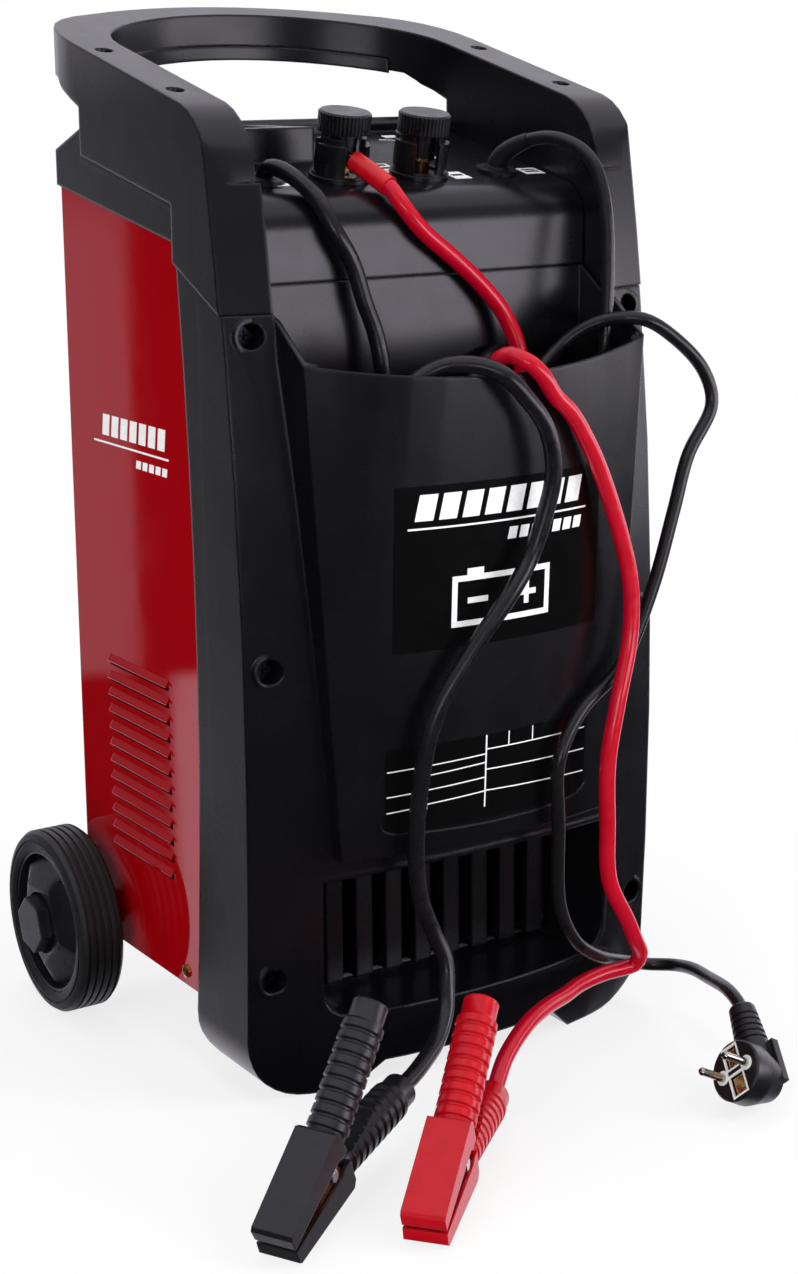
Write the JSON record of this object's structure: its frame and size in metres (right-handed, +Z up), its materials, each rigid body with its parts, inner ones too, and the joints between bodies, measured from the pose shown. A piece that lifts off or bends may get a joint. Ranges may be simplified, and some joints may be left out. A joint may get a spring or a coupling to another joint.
{
  "type": "battery charger and engine starter",
  "caption": "Upright wheeled battery charger and starter: plastic front with a cable pocket, red louvred steel body, carrying handle, screw terminals, clamped leads and a mains plug.",
  "frame": {"origin": "on the floor, in the middle of the footprint of the charger without its leads", "axes": "+Z up, +Y to the back, +X to the right of someone who faces the front"},
  "size_m": [0.4227, 0.4774, 0.6341],
  "materials": {
    "black_plastic": "satin",
    "dark_plastic": "satin",
    "tyre_rubber": "matt",
    "red_paint": "gloss",
    "steel": "satin",
    "core_steel": "varnished",
    "brass": "satin",
    "copper": "satin",
    "red_rubber": "gloss",
    "black_rubber": "satin",
    "white_plastic": "satin",
    "needle_red": "satin",
    "clear": "gloss",
    "aluminium": "satin"
  },
  "bodies": {
    "charger": {"front_shell": "black_plastic", "front_screws": "steel", "steel_housing": "red_paint", "housing_screws": "brass", "base_plate": "steel", "axle_brackets": "steel", "axle": "steel", "axle_clips": "steel", "top_cover": "black_plastic", "handle": "black_plastic", "handle_grip": "black_plastic", "handle_screws": "brass", "terminal_guards": "black_plastic", "terminal_studs": "brass", "lead_gland": "dark_plastic", "mains_gland": "dark_plastic", "red_lug": "copper", "red_sleeve": "red_rubber", "meter_case": "dark_plastic", "meter_dial": "white_plastic", "meter_window": "clear", "selector_switch": "dark_plastic", "fuse_holder": "dark_plastic", "transformer_core": "core_steel", "transformer_winding": "copper", "rectifier_sink": "aluminium", "rectifier_diodes": "steel", "thermal_cutout": "dark_plastic", "fan_frame": "dark_plastic", "black_lead": "black_rubber", "red_lead": "red_rubber", "mains_cord": "black_rubber", "black_base_grip": "black_rubber", "black_base_jaw": "copper", "red_base_grip": "red_rubber", "red_base_jaw": "copper", "clamp_pins": "steel", "clamp_springs": "steel", "plug_body": "black_rubber", "plug_insert": "white_plastic", "plug_pins": "brass", "plug_earth": "brass"},
    "left_wheel": {"left_wheel_hub": "dark_plastic", "left_tyre": "tyre_rubber", "left_hub_cap": "dark_plastic"},
    "right_wheel": {"right_wheel_hub": "dark_plastic", "right_tyre": "tyre_rubber", "right_hub_cap": "dark_plastic"},
    "fan": {"fan_rotor": "black_plastic"},
    "selector": {"selector_knob": "black_plastic"},
    "needle": {"meter_needle": "needle_red"},
    "fuse": {"fuse_cap": "black_plastic"},
    "left_terminal_washer": {"left_washer": "brass"},
    "left_terminal_cap": {"left_cap": "black_plastic"},
    "right_terminal_washer": {"right_washer": "brass"},
    "right_terminal_cap": {"right_cap": "black_plastic"},
    "black_clamp_top": {"black_top_grip": "black_rubber", "black_top_jaw": "copper"},
    "red_clamp_top": {"red_top_grip": "red_rubber", "red_top_jaw": "copper"}
  },
  "joints": [
    {"name": "left_wheel_spin", "type": "hinge", "parent": "charger", "child": "left_wheel", "pos_m": [-0.165, 0.0915, 0.059], "axis": [1, 0, 0], "continuous": true},
    {"name": "right_wheel_spin", "type": "hinge", "parent": "charger", "child": "right_wheel", "pos_m": [0.165, 0.0915, 0.059], "axis": [1, 0, 0], "continuous": true},
    {"name": "fan_spin", "type": "hinge", "parent": "charger", "child": "fan", "pos_m": [0, 0.0873, 0.3], "axis": [0, 1, 0], "continuous": true},
    {"name": "selector_turn", "type": "hinge", "parent": "charger", "child": "selector", "pos_m": [0.076, 0.0355, 0.54619], "axis": [0, -0.2079, 0.9781], "range_deg": [-120, 30]},
    {"name": "needle_swing", "type": "hinge", "parent": "charger", "child": "needle", "pos_m": [-0.067, 0.0225, 0.548], "axis": [0, 0, 1], "range_deg": [-76, 0]},
    {"name": "fuse_cap_turn", "type": "hinge", "parent": "charger", "child": "fuse", "pos_m": [0.015, 0.0395, 0.54704], "axis": [0, -0.2079, 0.9781], "range_deg": [0, 90]},
    {"name": "left_washer_lift", "type": "slide", "parent": "charger", "child": "left_terminal_washer", "axis": [0, -0.2079, 0.9781], "range_m": [0, 0.006]},
    {"name": "left_cap_turn", "type": "hinge", "parent": "left_terminal_washer", "child": "left_terminal_cap", "pos_m": [-0.031, -0.038, 0.53057], "axis": [0, -0.2079, 0.9781], "range_deg": [0, 1730]},
    {"name": "right_washer_lift", "type": "slide", "parent": "charger", "child": "right_terminal_washer", "axis": [0, -0.2079, 0.9781], "range_m": [0, 0.006]},
    {"name": "right_cap_turn", "type": "hinge", "parent": "right_terminal_washer", "child": "right_terminal_cap", "pos_m": [0.025, -0.038, 0.53057], "axis": [0, -0.2079, 0.9781], "range_deg": [0, 1730]},
    {"name": "black_clamp_open", "type": "hinge", "parent": "charger", "child": "black_clamp_top", "pos_m": [-0.18343, -0.24971, 0.03114], "axis": [-0.4848, 0.8746, 0], "range_deg": [0, 26], "stiffness_Nm_per_rad": 0.8, "springref_deg": -28.65},
    {"name": "red_clamp_open", "type": "hinge", "parent": "charger", "child": "red_clamp_top", "pos_m": [-0.11433, -0.26964, 0.02567], "axis": [-0.6428, 0.766, 0], "range_deg": [0, 26], "stiffness_Nm_per_rad": 0.8, "springref_deg": -28.65}
  ],
  "couplings": [
    {"joint": "left_cap_turn", "follows": "left_washer_lift", "rad_per_m": 5026.5},
    {"joint": "right_cap_turn", "follows": "right_washer_lift", "rad_per_m": 5026.5}
  ]
}
